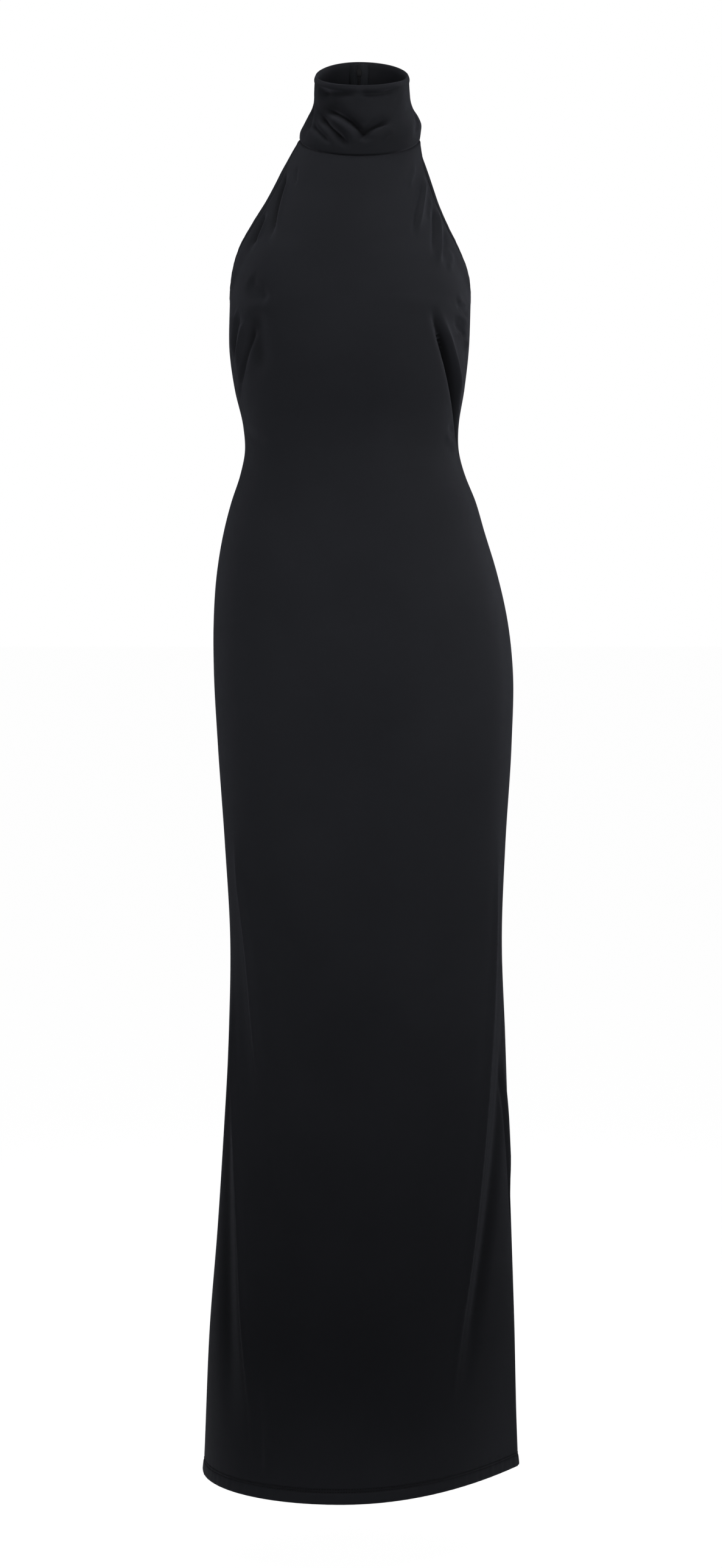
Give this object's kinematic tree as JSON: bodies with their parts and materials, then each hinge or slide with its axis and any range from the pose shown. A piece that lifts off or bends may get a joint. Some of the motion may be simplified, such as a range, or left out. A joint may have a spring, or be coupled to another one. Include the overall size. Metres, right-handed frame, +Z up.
{
  "type": "halter-neck maxi dress",
  "caption": "Fitted halter-neck maxi dress in black stretch jersey, hollow as worn, with a soft stand collar, cut-away armholes, a closed centre back zip and its pull tab.",
  "frame": {"origin": "middle of the neck seam, where the collar joins the front and the back and the wearer's neck carries the dress", "axes": "+Z up along the dress, -Y out of the front, +X to the viewer's right when looking at the front"},
  "size_m": [0.349, 0.265, 1.5399],
  "materials": {
    "jersey": "matte black stretch jersey with a faint sheen",
    "zip_tape": "matte black woven zip tape",
    "zip_metal": "satin black enamel"
  },
  "bodies": {
    "dress": {"front_bodice": "jersey", "front_skirt": "jersey", "back_left_bodice": "jersey", "back_left_skirt": "jersey", "back_right_bodice": "jersey", "back_right_skirt": "jersey", "collar": "jersey", "zip_tape_left": "zip_tape", "zip_tape_right": "zip_tape", "zip_slider": "zip_metal"},
    "pull_tab": {"zip_pull": "zip_metal"}
  },
  "joints": [
    {"name": "pull_hinge", "type": "hinge", "parent": "dress", "child": "pull_tab", "pos_m": [-0.002, 0.039, 0.08274], "axis": [1, 0, 0], "range_deg": [0, 130]}
  ]
}
